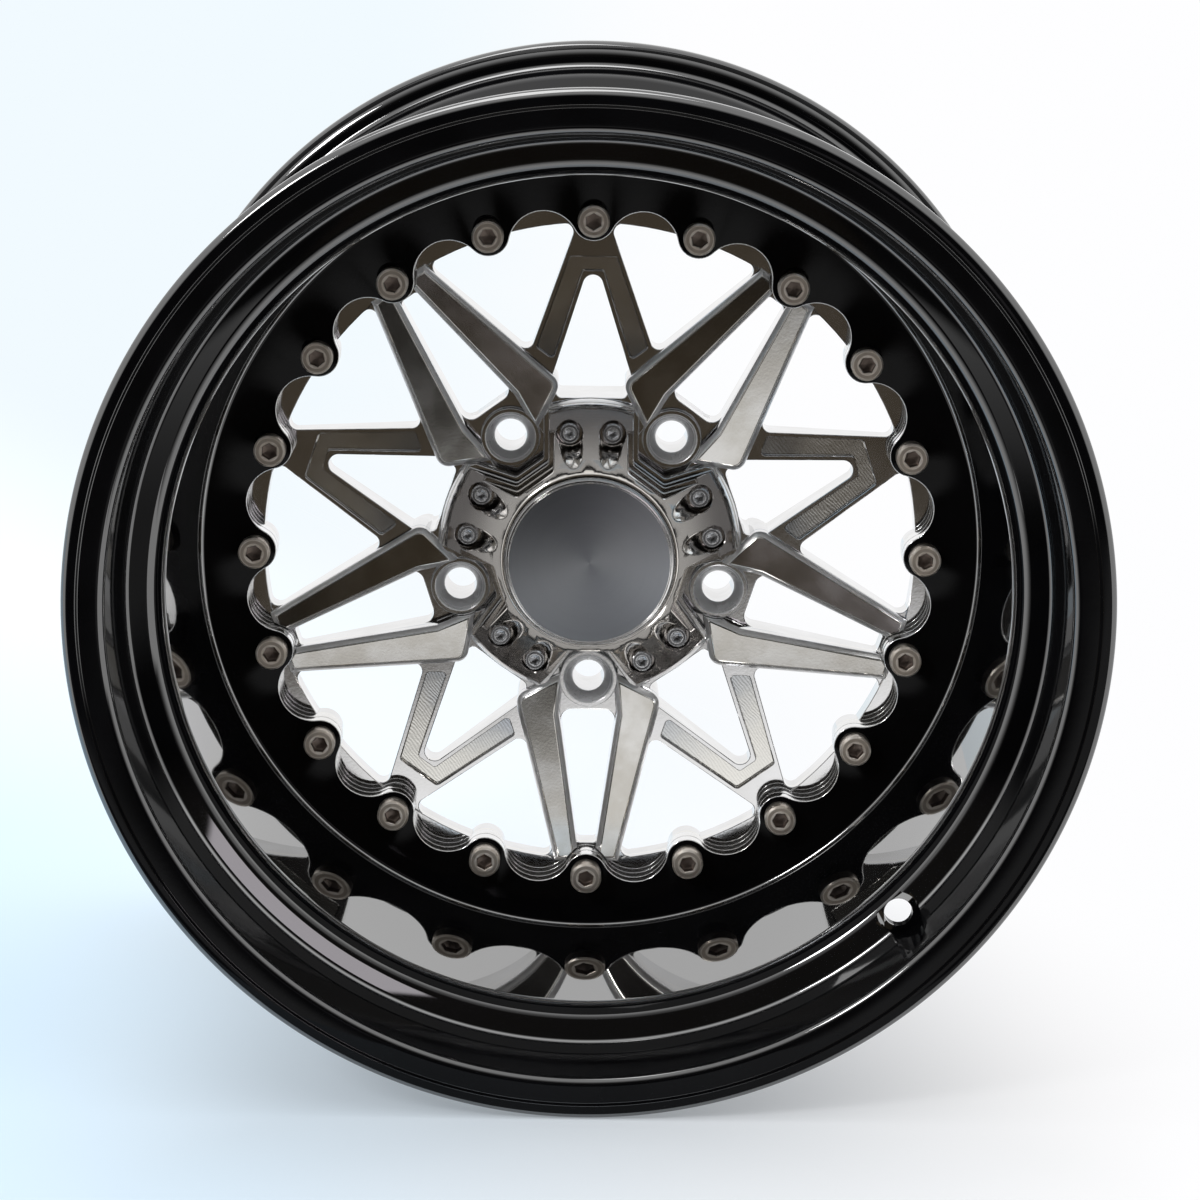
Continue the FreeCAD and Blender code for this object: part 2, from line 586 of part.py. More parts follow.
def make_wheel_centre():
    """Billet centre: hub cone with lug pockets, five twin main spokes, five vee spokes and bolting ring."""
    disc = cylinder(RING_OUTER_RADIUS - DISH_WALL, 0, VEE_HEIGHT)
    windows = repeated(vee_eye(), VEE_ANGLES) + repeated(spoke_gap(), LUG_ANGLES)
    windows += repeated(side_window(1), VEE_ANGLES) + repeated(side_window(-1), VEE_ANGLES)
    troughs = repeated(vee_trough(), VEE_ANGLES)
    disc = disc.cut(windows).cut(troughs)

    ring = cylinder(RING_OUTER_RADIUS, RING_BOTTOM, RING_TOP)
    ring = ring.cut(cylinder(RING_BORE, RING_BOTTOM, RING_TOP))
    lobe = cylinder(LOBE_RADIUS - 2 * SCALLOP_CLEARANCE, RING_BOTTOM, RING_TOP, polar(BOLT_RADIUS, 0))
    prongs = repeated(bevelled_prong(1), LUG_ANGLES) + repeated(bevelled_prong(-1), LUG_ANGLES)
    web = prism([
        (HUB_BORE / 2, GAP_ROOT_WIDTH / 2, 0),
        (GAP_START + KNEE_ROUND, GAP_ROOT_WIDTH / 2, 0),
        (GAP_START + KNEE_ROUND, -GAP_ROOT_WIDTH / 2, 0),
        (HUB_BORE / 2, -GAP_ROOT_WIDTH / 2, 0),
    ], LUG_PAD_HEIGHT - LUG_WEB_DROP, ABOVE)
    boss = cylinder(LUG_BOSS_RADIUS, 0, LUG_PAD_HEIGHT, polar(LUG_RADIUS, 0))
    disc = disc.cut(repeated(web, LUG_ANGLES))
    added = [ring, hub_cone()] + repeated(lobe, BOLT_ANGLES) + prongs + repeated(boss, LUG_ANGLES)
    centre = disc.fuse(added)

    # Material that the machining takes away
    outside = cylinder(RING_OUTER_RADIUS + DISH_WALL, RING_TOP, ABOVE)
    outside = outside.cut(scalloped(SCALLOP_CLEARANCE, RING_TOP, ABOVE))
    underside = turned([
        (MOUNT_PAD_RADIUS, BELOW, 0),
        (MOUNT_PAD_RADIUS, 0, 0),
        (MOUNT_PAD_RADIUS + SPOKE_ROOT_HEIGHT / 2, SPOKE_ROOT_HEIGHT, SPOKE_ROOT_ROUND),
        (RING_BORE - WINDOW_ROUND, RING_BOTTOM, 0),
        (RING_OUTER_RADIUS + DISH_WALL, RING_BOTTOM, 0),
        (RING_OUTER_RADIUS + DISH_WALL, BELOW, 0),
    ])
    cuts = [outside, underside]
    cuts.append(cylinder(HUB_BORE / 2, BELOW, ABOVE))
    cuts.append(cylinder(CAP_BORE / 2, CAP_SEAT - CAP_BORE_DEPTH, ABOVE))
    cuts.append(cylinder(CAP_DIAMETER / 2 + CAP_CLEARANCE, CAP_SEAT, ABOVE))
    seat_slope = math.tan(math.radians(LUG_SEAT_ANGLE / 2))
    seat_depth = (LUG_SEAT_MOUTH - LUG_HOLE) / 2 / seat_slope
    for angle in LUG_ANGLES:
        lug = polar(LUG_RADIUS, angle)
        cuts.append(cylinder(LUG_HOLE / 2, BELOW, ABOVE, lug))
        seat_bottom = lug + Vector(0, 0, LUG_PAD_HEIGHT - seat_depth)
        cuts.append(Part.makeCone(LUG_HOLE / 2, LUG_SEAT_MOUTH / 2, seat_depth, seat_bottom))
        cuts.append(cylinder(LUG_BOSS_RADIUS, LUG_PAD_HEIGHT, ABOVE, lug))
    for angle, place in hub_screw_places():
        hole = HUB_SCREW_DIAMETER / 2 + THREAD_CLEARANCE
        cuts.append(cylinder(hole, HUB_SEAT_HEIGHT - HUB_SCREW_REACH - HUB_TAP_EXTRA, ABOVE, place))
        cuts.append(cylinder(HUB_SEAT_RADIUS, HUB_SEAT_HEIGHT, ABOVE, place))
        relief = cylinder(RELIEF_RADIUS, 0, RELIEF_LENGTH)
        relief.rotate(Vector(0, 0, 0), Vector(0, 1, 0), -RELIEF_TILT)
        relief = spun(relief, angle)
        relief.translate(place + Vector(0, 0, HUB_SEAT_HEIGHT + RELIEF_RISE))
        cuts.append(relief)
    tapped = SCREW_DIAMETER / 2 + THREAD_CLEARANCE
    for angle in BOLT_ANGLES:
        cuts.append(cylinder(tapped, RING_BOTTOM - OVERCUT, RING_TOP + OVERCUT, polar(BOLT_RADIUS, angle)))
    return centre.cut(cuts).removeSplitter()


def make_centre_cap():
    """Turned cap with a bevelled rim, a face groove and a skirt that plugs the front of the hub."""
    rim = CAP_DIAMETER / 2
    top = CAP_SEAT + CAP_HEIGHT
    skirt = CAP_BORE / 2 - SKIRT_CLEARANCE
    low = CAP_SEAT - CAP_SKIRT_LENGTH
    ring_middle = CAP_SEAT - CAP_SKIRT_LENGTH / 2
    floor = skirt - CAP_RING_DEPTH
    hollow = skirt - CAP_SKIRT_WALL - CAP_RING_DEPTH
    groove = top - CAP_GROOVE_DEPTH
    groove_rim = rim - CAP_BEVEL
    groove_inside = groove_rim - CAP_GROOVE_WIDTH
    return turned([
        (0, CAP_SEAT, 0),
        (hollow, CAP_SEAT, 0),
        (hollow, low, 0),
        (skirt - CAP_LEAD_IN, low, 0),
        (skirt, low + CAP_LEAD_LENGTH, 0),
        (skirt, ring_middle - CAP_RING_WIDTH / 2, 0),
        (floor, ring_middle - CAP_RING_WIDTH / 2, 0),
        (floor, ring_middle + CAP_RING_WIDTH / 2, 0),
        (skirt, ring_middle + CAP_RING_WIDTH / 2, 0),
        (skirt, CAP_SEAT, 0),
        (rim, CAP_SEAT, 0),
        (rim, groove - CAP_BEVEL, 0),
        (groove_rim, groove, 0),
        (groove_inside, groove, 0),
        (groove_inside - CAP_GROOVE_SLOPE, top, 0),
        (0, top, 0),
    ])


def make_cap_ring():
    """Rubber ring in the skirt's groove that grips the front of the hub."""
    skirt = CAP_BORE / 2 - SKIRT_CLEARANCE
    floor = skirt - CAP_RING_DEPTH
    middle = CAP_SEAT - CAP_SKIRT_LENGTH / 2
    outer = CAP_BORE / 2
    return turned([
        (floor, middle - CAP_RING_WIDTH / 2, CAP_RING_ROUND),
        (outer, middle - CAP_RING_WIDTH / 2, CAP_RING_ROUND),
        (outer, middle + CAP_RING_WIDTH / 2, CAP_RING_ROUND),
        (floor, middle + CAP_RING_WIDTH / 2, CAP_RING_ROUND),
    ])


PIECES = {
    "outer_lip": make_outer_lip,
    "inner_barrel": make_inner_barrel,
    "rim_seal": make_rim_seal,
    "wheel_centre": make_wheel_centre,
    "rim_screws": make_rim_screws,
    "hub_screws": make_hub_screws,
    "centre_cap": make_centre_cap,
    "cap_ring": make_cap_ring,
}

os.makedirs("parts", exist_ok=True)
for name, make in PIECES.items():
    piece = make()
    piece.rotate(Vector(0, 0, 0), Vector(1, 0, 0), 90)
    piece.exportStep("parts/" + name + ".step")
    print(name, len(piece.Solids), round(piece.Volume), piece.isValid())
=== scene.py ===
import bmesh
import bpy
import math
from mathutils import Matrix, Vector


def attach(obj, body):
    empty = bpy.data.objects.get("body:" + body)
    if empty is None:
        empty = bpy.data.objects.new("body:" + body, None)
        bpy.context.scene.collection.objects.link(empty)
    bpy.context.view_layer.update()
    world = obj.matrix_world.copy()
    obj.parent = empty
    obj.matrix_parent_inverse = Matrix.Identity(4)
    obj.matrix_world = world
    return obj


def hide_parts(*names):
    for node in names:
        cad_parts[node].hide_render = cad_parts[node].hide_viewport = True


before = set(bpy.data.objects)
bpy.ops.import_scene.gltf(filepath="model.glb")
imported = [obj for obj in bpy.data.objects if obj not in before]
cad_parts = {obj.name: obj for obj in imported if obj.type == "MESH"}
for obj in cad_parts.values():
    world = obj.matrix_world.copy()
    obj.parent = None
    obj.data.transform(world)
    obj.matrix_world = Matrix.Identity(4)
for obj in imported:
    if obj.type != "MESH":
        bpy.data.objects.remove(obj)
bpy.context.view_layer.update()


# Wheel centre: one billet of aluminium, turned and milled into a hub, twin main spokes, vee
# spokes and a tapped ring. The spoke faces keep the cutter's satin, the walls, bevels and
# pockets are polished bright, and no paint covers it.
class Value:
    """A shader socket that works in Python expressions: each operator adds a Math node."""

    def __init__(self, tree, socket=None):
        self.tree = tree
        self.socket = socket

    def node(self, kind, sockets=None, output=0, **settings):
        """Adds a node of a type, sets its settings and sockets, and returns one of its outputs."""
        made = self.tree.nodes.new("ShaderNode" + kind)
        for name, setting in settings.items():
            setattr(made, name, setting)
        for name, value in (sockets or {}).items():
            if isinstance(value, Value):
                self.tree.links.new(value.socket, made.inputs[name])
            else:
                made.inputs[name].default_value = value
        return Value(self.tree, made.outputs[output])

    def math(self, operation, *others):
        """A Math node with this value in its first socket."""
        return self.node("Math", dict(enumerate((self, *others))), operation=operation)

    def __add__(self, other):
        return self.math("ADD", other)

    def __sub__(self, other):
        return self.math("SUBTRACT", other)

    def __mul__(self, other):
        return self.math("MULTIPLY", other)

    def __radd__(self, other):
        return self.math("ADD", other)

    def __rsub__(self, other):
        return self.node("Math", {0: other, 1: self}, operation="SUBTRACT")

    def __rmul__(self, other):
        return self.math("MULTIPLY", other)

    def step(self, low, high):
        """0 below low, 1 above high, smooth between."""
        sockets = {"Value": self, "From Min": low, "From Max": high}
        return self.node("MapRange", sockets, interpolation_type="SMOOTHSTEP")

    def blend(self, first, second):
        """Mix of two colours, by this value."""
        return self.node("Mix", {0: self, 6: first, 7: second}, 2, data_type="RGBA")


def new_finish(name):
    """A material with a Principled shader, and the object coordinates to paint it by."""
    material = bpy.data.materials.new(name)
    material.use_nodes = True
    tree = material.node_tree
    shader = tree.nodes["Principled BSDF"]
    place = Value(tree).node("TexCoord", output=3)
    axes = [place.node("SeparateXYZ", {0: place}, axis) for axis in range(3)]
    return material, shader, place, axes


def connect(shader, **values):
    """Feeds the shader's sockets, named with _ for a space."""
    for name, value in values.items():
        socket = shader.inputs[name.replace("_", " ")]
        if isinstance(value, Value):
            value.tree.links.new(value.socket, socket)
        else:
            socket.default_value = value


def add_piece(name, mesh, finish, slot, *nodes):
    """Puts a finished mesh on the wheel in place of its CAD nodes."""
    piece = bpy.data.objects.new(name, mesh)
    bpy.context.collection.objects.link(piece)
    mesh.materials.append(finish)
    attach(piece, "root")
    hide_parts(*nodes)
    return piece


def smooth_mesh(bm, name, sharp_degrees, flats=()):
    """Turns a bmesh into a mesh that shades smoothly up to an angle, with hard borders round some faces."""
    borders = set(flats)
    for face in bm.faces:
        face.smooth = True
    for edge in bm.edges:
        sides = [face in borders for face in edge.link_faces]
        edge.smooth = len(set(sides)) == 1 and edge.calc_face_angle(0) < math.radians(sharp_degrees)
    mesh = bpy.data.meshes.new(name)
    bm.to_mesh(mesh)
    bm.free()
    return mesh


def make_centre_finish():
    """Polished aluminium with satin milled faces and tool marks in the troughs, with painted light and shade
    on the trough floors and hub pads.
    """
    spoke_face = 0.0365
    trough_floor = 0.0295
    bevel_foot = 0.0335
    bevel_top = 0.0361
    pad_foot = 0.0385
    pad_inside = 0.0352
    pad_outside = 0.0620
    lean_slope = 0.061
    material, shader, place, (x, y, z) = new_finish("milled_aluminium")
    forward = 0.0 - y
    radius = (x * x + z * z).math("SQRT")
    on_face = 1.0 - (forward - spoke_face).math("ABSOLUTE").step(0.0002, 0.0005)
    on_floor = 1.0 - (forward - trough_floor).math("ABSOLUTE").step(0.0002, 0.0005)
    on_bevel = forward.step(bevel_foot, bevel_foot + 0.0005)
    on_bevel = on_bevel * (1.0 - forward.step(bevel_top, bevel_top + 0.0003))
    on_pad = forward.step(pad_foot, pad_foot + 0.001) * radius.step(pad_inside, pad_inside + 0.001)
    on_pad = on_pad * (1.0 - radius.step(pad_outside, pad_outside + 0.002))
    seat = place.node("Attribute", output=2, attribute_name="seat")
    mottle = place.node("TexNoise", {"Vector": place, "Scale": 70.0, "Detail": 4.0})
    grain = place.node("TexNoise", {"Vector": place, "Scale": 900.0, "Detail": 2.0})
    lathe = {"W": radius * 2800.0, "Scale": 1.0, "Detail": 1.0}
    rings = place.node("TexNoise", lathe, noise_dimensions="1D")
    passes = ((x * 0.8 + z * 0.6) * 5200.0 + mottle * 30.0).math("SINE")
    fifth = 2 * math.pi / 5
    turn = x.math("ARCTAN2", z).math("WRAP", fifth, 0.0) - fifth / 2
    aside = (turn.math("SINE") * radius).math("ABSOLUTE")
    polished = mottle.step(0.25, 0.8).blend((0.74, 0.735, 0.73, 1), (0.83, 0.83, 0.84, 1))
    satin = mottle.step(0.3, 0.75).blend((0.54, 0.52, 0.48, 1), (0.73, 0.72, 0.70, 1))
    # Trough floors: painted shade, dark and blue-grey towards the hub, turning to a painted highlight
    # outward.
    floor = (radius + mottle * 0.03).step(0.085, 0.125).blend((0.48, 0.52, 0.58, 1), (0.86, 0.845, 0.80, 1))
    colour = on_floor.blend(on_face.blend(polished, satin), floor)
    # Hub pads: a painted highlight next to the cap that fades to painted shade outward.
    pad_painted_light = (radius + mottle * 0.006).step(0.040, 0.060).blend((0.97, 0.93, 0.88, 1), (0.34, 0.32, 0.31, 1))
    colour = seat.blend(on_pad.blend(colour, pad_painted_light), (0.93, 0.93, 0.94, 1))
    rough = 0.04 + mottle * 0.06 + on_face * 0.03 + on_floor * 0.05
    rough = rough + on_pad * 0.03 + on_bevel * 0.26 + seat * 0.2
    height = grain * 0.06 + passes * on_floor * 0.04 + mottle * on_floor * 0.3 + rings * on_pad * 0.1
    slope = 0.0 - aside * on_face * lean_slope
    lean = place.node("Bump", {"Height": slope, "Strength": 1.0, "Distance": 1.0})
    bump = place.node("Bump", {"Height": height, "Strength": 0.12, "Distance": 0.0006, "Normal": lean})
    connect(shader, Base_Color=colour, Roughness=rough, Metallic=1.0 - seat * 0.6, Normal=bump)
    return material


centre_bm = bmesh.new()
centre_bm.from_mesh(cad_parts["wheel_centre"].data)
bmesh.ops.remove_doubles(centre_bm, verts=centre_bm.verts, dist=2e-6)
corners = [edge for edge in centre_bm.edges if edge.calc_face_angle(0) > math.radians(25)]
broken_edge = 0.0003
broken = bmesh.ops.bevel(
    centre_bm, geom=corners, offset=broken_edge, offset_type="OFFSET", segments=1, profile=0.5,
    affect="EDGES", clamp_overlap=False, material=-1,
)
seat = centre_bm.faces.layers.float.new("seat")
lug_circle = Vector((0.05715, 0))
seat_reach = 0.0125
lugs = [Matrix.Rotation(2 * math.pi * (number + 0.5) / 5, 2) @ lug_circle for number in range(5)]
for face in centre_bm.faces:
    middle = face.calc_center_median()
    reach = min((Vector((middle.z, middle.x)) - lug).length for lug in lugs)
    face[seat] = 1.0 if reach < seat_reach and 0.2 < abs(face.normal.y) < 0.9 else 0.0
centre_mesh = smooth_mesh(centre_bm, "machined_centre", 25, broken["faces"])
for polygon in centre_mesh.polygons:
    polygon.use_smooth = abs(polygon.normal.y) < 0.999
add_piece("machined_centre", centre_mesh, make_centre_finish(), "machined_aluminium", "wheel_centre")


# Inner barrel: the half of the rim towards the vehicle, spun and turned from aluminium. Its
# outside is powder coated gloss black, its inside and the scalloped edge of its flange are
# bare bright metal, and screws clamp it between lip and centre.
bolt_radius = 0.1389
bolt_count = 20
joint = 0.039
flange = 0.006
scallop_radius = 0.1302
scallop_depth = 0.002
largest_edge = 0.0038
painted_from = 0.146


def scallop(angle, depth):
    """Point of the flange's scalloped edge for an angle from the top, sunk into the metal by a depth."""
    lobe = 0.0087
    deepest = bolt_radius + 0.0049
    pitch = 2 * math.pi / bolt_count
    along = bolt_radius * math.cos(pitch / 2) - deepest
    across = bolt_radius * math.sin(pitch / 2)
    hollow = (along ** 2 + across ** 2 - lobe ** 2) / (2 * (lobe - along))
    bolt = Vector((bolt_radius, 0))
    middle = Vector((math.cos(pitch / 2), math.sin(pitch / 2))) * (deepest - hollow)
    touch = math.atan2(middle.y, middle.x - bolt_radius)
    lobe_run = lobe * (math.pi - touch)
    hollow_run = hollow * (math.pi - touch + pitch / 2)
    turns = round(angle / pitch)
    share = angle / pitch - turns
    run = abs(share) * 2 * (lobe_run + hollow_run)
    if run < lobe_run:
        way = math.pi - run / lobe
        point = bolt + Vector((math.cos(way), math.sin(way))) * (lobe - depth)
    else:
        way = touch - math.pi + (run - lobe_run) / hollow
        point = middle + Vector((math.cos(way), math.sin(way))) * (hollow + depth)
    if share < 0:
        point.y = -point.y
    return Matrix.Rotation(turns * pitch, 2) @ point


def spun_ring(corners, edge_radius):
    """Ring turned from a section of (radius, forward, rounding), with a scalloped inner edge."""
    bm = bmesh.new()
    points = [bm.verts.new((0, -forward, radius)) for radius, forward, rounding in corners]
    for first, second in zip(points, points[1:] + points[:1]):
        bm.edges.new((first, second))
    for point, (radius, forward, rounding) in zip(points, corners):
        if rounding:
            bmesh.ops.bevel(
                bm, geom=[point], offset=rounding, offset_type="OFFSET", segments=5,
                profile=0.5, affect="VERTICES", material=-1,
            )
    pitch = 2 * math.pi / bolt_count
    bmesh.ops.spin(
        bm, geom=bm.verts[:] + bm.edges[:], cent=(0, 0, 0), axis=(0, 1, 0), angle=pitch, steps=40,
    )
    bmesh.ops.spin(
        bm, geom=bm.verts[:] + bm.edges[:] + bm.faces[:], cent=(0, 0, 0), axis=(0, 1, 0),
        angle=2 * math.pi - pitch, steps=bolt_count - 1, use_duplicate=True,
    )
    bmesh.ops.remove_doubles(bm, verts=bm.verts, dist=2e-6)
    bmesh.ops.recalc_face_normals(bm, faces=bm.faces)
    bare = bm.faces.layers.float.new("bare")
    round_edge = bm.faces.layers.float.new("round_edge")
    edges = [(Vector(corner[:2]), corner[2] * 0.8) for corner in corners if corner[2] < largest_edge]
    for face in bm.faces:
        middle = face.calc_center_median()
        spot = Vector((math.hypot(middle.x, middle.z), -middle.y))
        face[round_edge] = 1.0 if any((spot - place).length < reach for place, reach in edges) else 0.0
    for vert in bm.verts:
        radius = math.hypot(vert.co.x, vert.co.z)
        if radius < edge_radius + scallop_depth:
            point = scallop(math.atan2(vert.co.x, vert.co.z), radius - edge_radius)
            vert.co.x = point.y
            vert.co.z = point.x
    return bm, bare


def make_coat_finish(name, bare_rough):
    """Gloss black powder coat with a slight orange peel, bare turned metal where the paint stops."""
    dish_foot = 0.1600
    dish_mouth = 0.1657
    step_inside = 0.1700
    step_outside = 0.1795
    step_level = 0.1345
    material, shader, place, (x, y, z) = new_finish(name)
    radius = (x * x + z * z).math("SQRT")
    forward = 0.0 - y
    in_dish = radius.step(dish_foot, dish_foot + 0.0012)
    in_dish = in_dish * (1.0 - radius.step(dish_mouth, dish_mouth + 0.0004))
    in_dish = in_dish * forward.step(joint, joint + 0.002)
    on_step = radius.step(step_inside, step_inside + 0.0008)
    on_step = on_step * (1.0 - radius.step(step_outside, step_outside + 0.0008))
    on_step = on_step * forward.step(step_level, step_level + 0.0005)
    on_step = on_step * (z.step(0.03, 0.16) * 0.16 + 1.0 - z.step(-0.09, -0.06))
    bare = place.node("Attribute", output=2, attribute_name="bare")
    round_edge = place.node("Attribute", output=2, attribute_name="round_edge")
    peel = place.node("TexNoise", {"Vector": place, "Scale": 420.0, "Detail": 2.0})
    cloud = place.node("TexNoise", {"Vector": place, "Scale": 30.0, "Detail": 4.0})
    lines = (y * 5200.0 + cloud * 4.0).math("SINE")
    coat = cloud.step(0.3, 0.7).blend((0.0022, 0.0022, 0.0026, 1), (0.0036, 0.0036, 0.0042, 1))
    metal = cloud.step(0.3, 0.7).blend((0.80, 0.79, 0.77, 1), (0.88, 0.88, 0.89, 1))
    rough = 0.035 + cloud * 0.03 + bare * bare_rough
    height = peel * (1.0 - bare) * 0.5 + lines * bare * 0.1
    bump = place.node("Bump", {"Height": height, "Strength": 0.02, "Distance": 0.0003})
    connect(shader, Base_Color=bare.blend(coat, metal), Roughness=rough, Metallic=bare, Normal=bump)
    gloss = (in_dish + on_step).math("MAXIMUM", round_edge * 0.5) * (1.0 - bare)
    connect(shader, Coat_Weight=gloss, Coat_Roughness=0.02, Coat_IOR=3.4, Specular_IOR_Level=0.11)
    return material


barrel_bm, barrel_bare = spun_ring([
    (0.1845, -0.1176, 0.0030),
    (0.2010, -0.1176, 0.0036),
    (0.2010, -0.1061, 0.0030),
    (0.1965, -0.1016, 0.0028),
    (0.1901, -0.1016, 0.0030),
    (0.1884, -0.0796, 0.0040),
    (0.1665, -0.0270, 0.0140),
    (0.1665, joint, 0),
    (scallop_radius, joint, 0.0004),
    (scallop_radius, joint - flange, 0.0004),
    (0.1521, joint - flange, 0),
    (0.1521, joint - flange - 0.002, 0.0005),
    (0.1620, joint - flange - 0.002, 0.0025),
    (0.1620, -0.0300, 0.0140),
    (0.1803, -0.0826, 0.0070),
], scallop_radius)
barrel_mouth = 0.1846
for face in barrel_bm.faces:
    middle = face.calc_center_median()
    outward = face.normal.x * middle.x + face.normal.z * middle.z
    edge = math.hypot(middle.x, middle.z) < painted_from and abs(face.normal.y) < 0.9
    inside = outward < 0.0 and math.hypot(middle.x, middle.z) < barrel_mouth
    behind = face.normal.y > 0.9 and middle.y < 0.0
    face[barrel_bare] = 1.0 if edge or inside or behind else 0.0
barrel_mesh = smooth_mesh(barrel_bm, "rim_inner_barrel", 32)
barrel_coat = make_coat_finish("barrel_coat", 0.16)
add_piece("rim_inner_barrel", barrel_mesh, barrel_coat, "barrel_black", "inner_barrel")


# Rim seal and cap ring: two moulded rubber rings. One is squeezed in a groove between barrel
# and lip, so that the joint holds air, and the other grips the bore round the cap's skirt.
# Neither shows once the wheel is bolted up.
def make_rubber_finish(name):
    """Matt black rubber with a fine bloom."""
    material, shader, place, axes = new_finish(name)
    bloom = place.node("TexNoise", {"Vector": place, "Scale": 160.0, "Detail": 5.0})
    colour = bloom.step(0.35, 0.7).blend((0.014, 0.014, 0.014, 1), (0.028, 0.028, 0.027, 1))
    bump = place.node("Bump", {"Height": bloom, "Strength": 0.15, "Distance": 0.0003})
    connect(shader, Base_Color=colour, Roughness=0.55 + bloom * 0.2, Normal=bump)
    return material


seal_rubber = make_rubber_finish("seal_rubber")
for node in ("rim_seal", "cap_ring"):
    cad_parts[node].data.materials.clear()
    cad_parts[node].data.materials.append(seal_rubber)


# Outer lip: the deep front half of the rim, spun from aluminium and powder coated gloss black.
# Its scalloped edge is machined bare after painting, a step carries the drilled valve hole,
# and its flange sits on the barrel's under the screw heads.
lip_bm, lip_bare = spun_ring([
    (0.1845, 0.1680, 0.0030),
    (0.1942, 0.1680, 0.0002),
    (0.1952, 0.1684, 0.0002),
    (0.2010, 0.1684, 0.0034),
    (0.2010, 0.1569, 0.0030),
    (0.1965, 0.1524, 0.0028),
    (0.1901, 0.1524, 0.0030),
    (0.1884, 0.1340, 0.0020),
    (0.1711, 0.1280, 0.0040),
    (0.1665, joint, 0),
    (scallop_radius, joint, 0.0004),
    (scallop_radius, joint + flange, 0.0004),
    (0.1620, joint + flange, 0.0020),
    (0.1656, 0.1310, 0.0026),
    (0.1703, 0.1365, 0.0024),
    (0.1803, 0.1377, 0.0022),
], scallop_radius)
for face in lip_bm.faces:
    middle = face.calc_center_median()
    edge = math.hypot(middle.x, middle.z) < painted_from and abs(face.normal.y) < 0.9
    face[lip_bare] = 1.0 if edge else 0.0
lip_mesh = smooth_mesh(lip_bm, "rim_outer_lip", 32)
lip_coat = make_coat_finish("lip_coat", 0.1)
lip = add_piece("rim_outer_lip", lip_mesh, lip_coat, "gloss_black", "outer_lip")


def drill(piece, radius, near, far, across, up):
    """Drills a piece along the axle's direction with a round cutter."""
    bm = bmesh.new()
    spot = Matrix.Translation((across, -(near + far) / 2, up)) @ Matrix.Rotation(math.pi / 2, 4, "X")
    bmesh.ops.create_cone(
        bm, cap_ends=True, segments=64, radius1=radius, radius2=radius, depth=far - near, matrix=spot,
    )
    mesh = bpy.data.meshes.new("cutter")
    bm.to_mesh(mesh)
    bm.free()
    cutter = bpy.data.objects.new("cutter", mesh)
    bpy.context.collection.objects.link(cutter)
    cut = piece.modifiers.new("drill", "BOOLEAN")
    cut.object = cutter
    cut.solver = "MANIFOLD"
    graph = bpy.context.evaluated_depsgraph_get()
    drilled = bpy.data.meshes.new_from_object(piece.evaluated_get(graph), depsgraph=graph)
    piece.modifiers.remove(cut)
    piece.data = drilled
    bpy.data.objects.remove(cutter)
    drilled.set_sharp_from_angle(angle=math.radians(32))


valve_place = 0.1759 * math.sqrt(0.5)
valve_seat = 0.0085
valve_hole = 0.00565
drill(lip, valve_seat, 0.1360, 0.1604, valve_place, -valve_place)
drill(lip, valve_hole, 0.1150, 0.1500, valve_place, -valve_place)


# Rim screws: stainless socket-head screws, cold formed, that go through lip and barrel into
# the centre's tapped ring. The heads have a broken edge and a hexagonal key socket.
def points_in(made):
    """The vertices among what an operator made."""
    return [item for item in made["geom"] if isinstance(item, bmesh.types.BMVert)]


